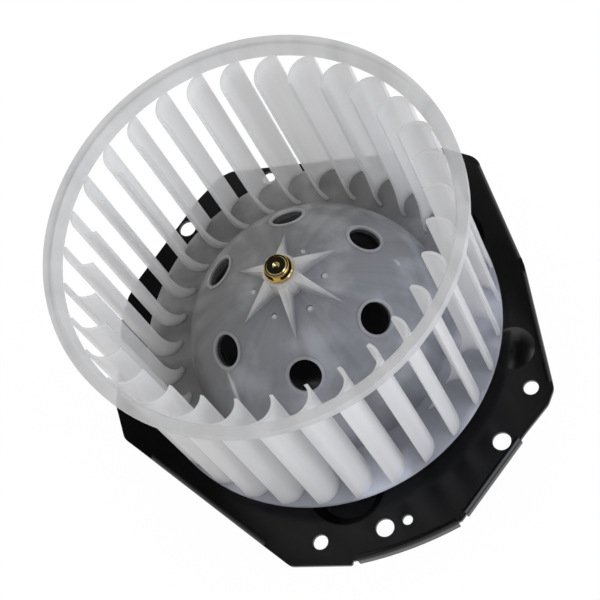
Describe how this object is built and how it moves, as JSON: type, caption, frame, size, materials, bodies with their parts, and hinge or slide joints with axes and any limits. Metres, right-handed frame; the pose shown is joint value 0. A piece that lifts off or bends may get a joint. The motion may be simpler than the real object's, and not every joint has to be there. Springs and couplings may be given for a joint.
{
  "type": "car cabin blower motor",
  "caption": "Car cabin blower motor: squirrel cage wheel on a motor held by soft mounts in a black pressed flange.",
  "frame": {"origin": "on the shaft's axis, in the flange's face on the wheel's side", "axes": "+Z along the shaft, out of the wheel's inlet; +Y towards the flange's curved edge; +X towards its long straight side"},
  "size_m": [0.1735, 0.1699, 0.157],
  "materials": {
    "wheel_plastic": "satin moulded",
    "black_paint": "gloss",
    "brass": "polished",
    "shaft_steel": "ground",
    "plated_steel": "satin plated",
    "core_steel": "laminated",
    "black_plastic": "fine grain",
    "card_board": "pressed laminate",
    "rubber": "matte",
    "ferrite": "sintered",
    "carbon": "matte",
    "copper": "bright",
    "bearing_bronze": "sintered"
  },
  "bodies": {
    "housing": {"mounting_flange": "black_paint", "motor_case": "black_paint", "end_cap": "black_plastic", "end_cap_screws": "plated_steel", "motor_bracket": "black_paint", "isolator_grommets": "rubber", "spacer_sleeves": "plated_steel", "mount_screws": "plated_steel", "mount_washers": "plated_steel", "mount_nuts": "plated_steel", "upper_bearing": "bearing_bronze", "lower_bearing": "bearing_bronze", "upper_retainer": "plated_steel", "lower_retainer": "plated_steel", "magnet_a": "ferrite", "magnet_b": "ferrite", "magnet_clips": "plated_steel", "brush_card": "card_board", "brush_holder_a": "brass", "brush_holder_b": "brass", "brush_spring_a": "plated_steel", "brush_spring_b": "plated_steel", "choke_coils": "copper", "connector_housing": "black_plastic", "terminals": "brass"},
    "rotor": {"blower_wheel": "wheel_plastic", "hub_bush": "brass", "shaft": "shaft_steel", "armature_core": "core_steel", "armature_winding": "copper", "end_insulators": "card_board", "commutator_hub": "black_plastic", "commutator_bars": "copper", "thrust_washers": "card_board"},
    "brush_left": {"brush_b": "carbon"},
    "brush_right": {"brush_a": "carbon"}
  },
  "joints": [
    {"name": "rotor_spin", "type": "hinge", "parent": "housing", "child": "rotor", "pos_m": [0, 0, 0], "axis": [0, 0, 1], "continuous": true},
    {"name": "brush_right_slide", "type": "slide", "parent": "housing", "child": "brush_right", "axis": [1, 0, 0], "range_m": [0, 0.003], "stiffness_N_per_m": 100, "springref_m": -0.01, "deforming": ["brush_spring_a"]},
    {"name": "brush_left_slide", "type": "slide", "parent": "housing", "child": "brush_left", "axis": [-1, 0, 0], "range_m": [0, 0.003], "stiffness_N_per_m": 100, "springref_m": -0.01, "deforming": ["brush_spring_b"]}
  ]
}
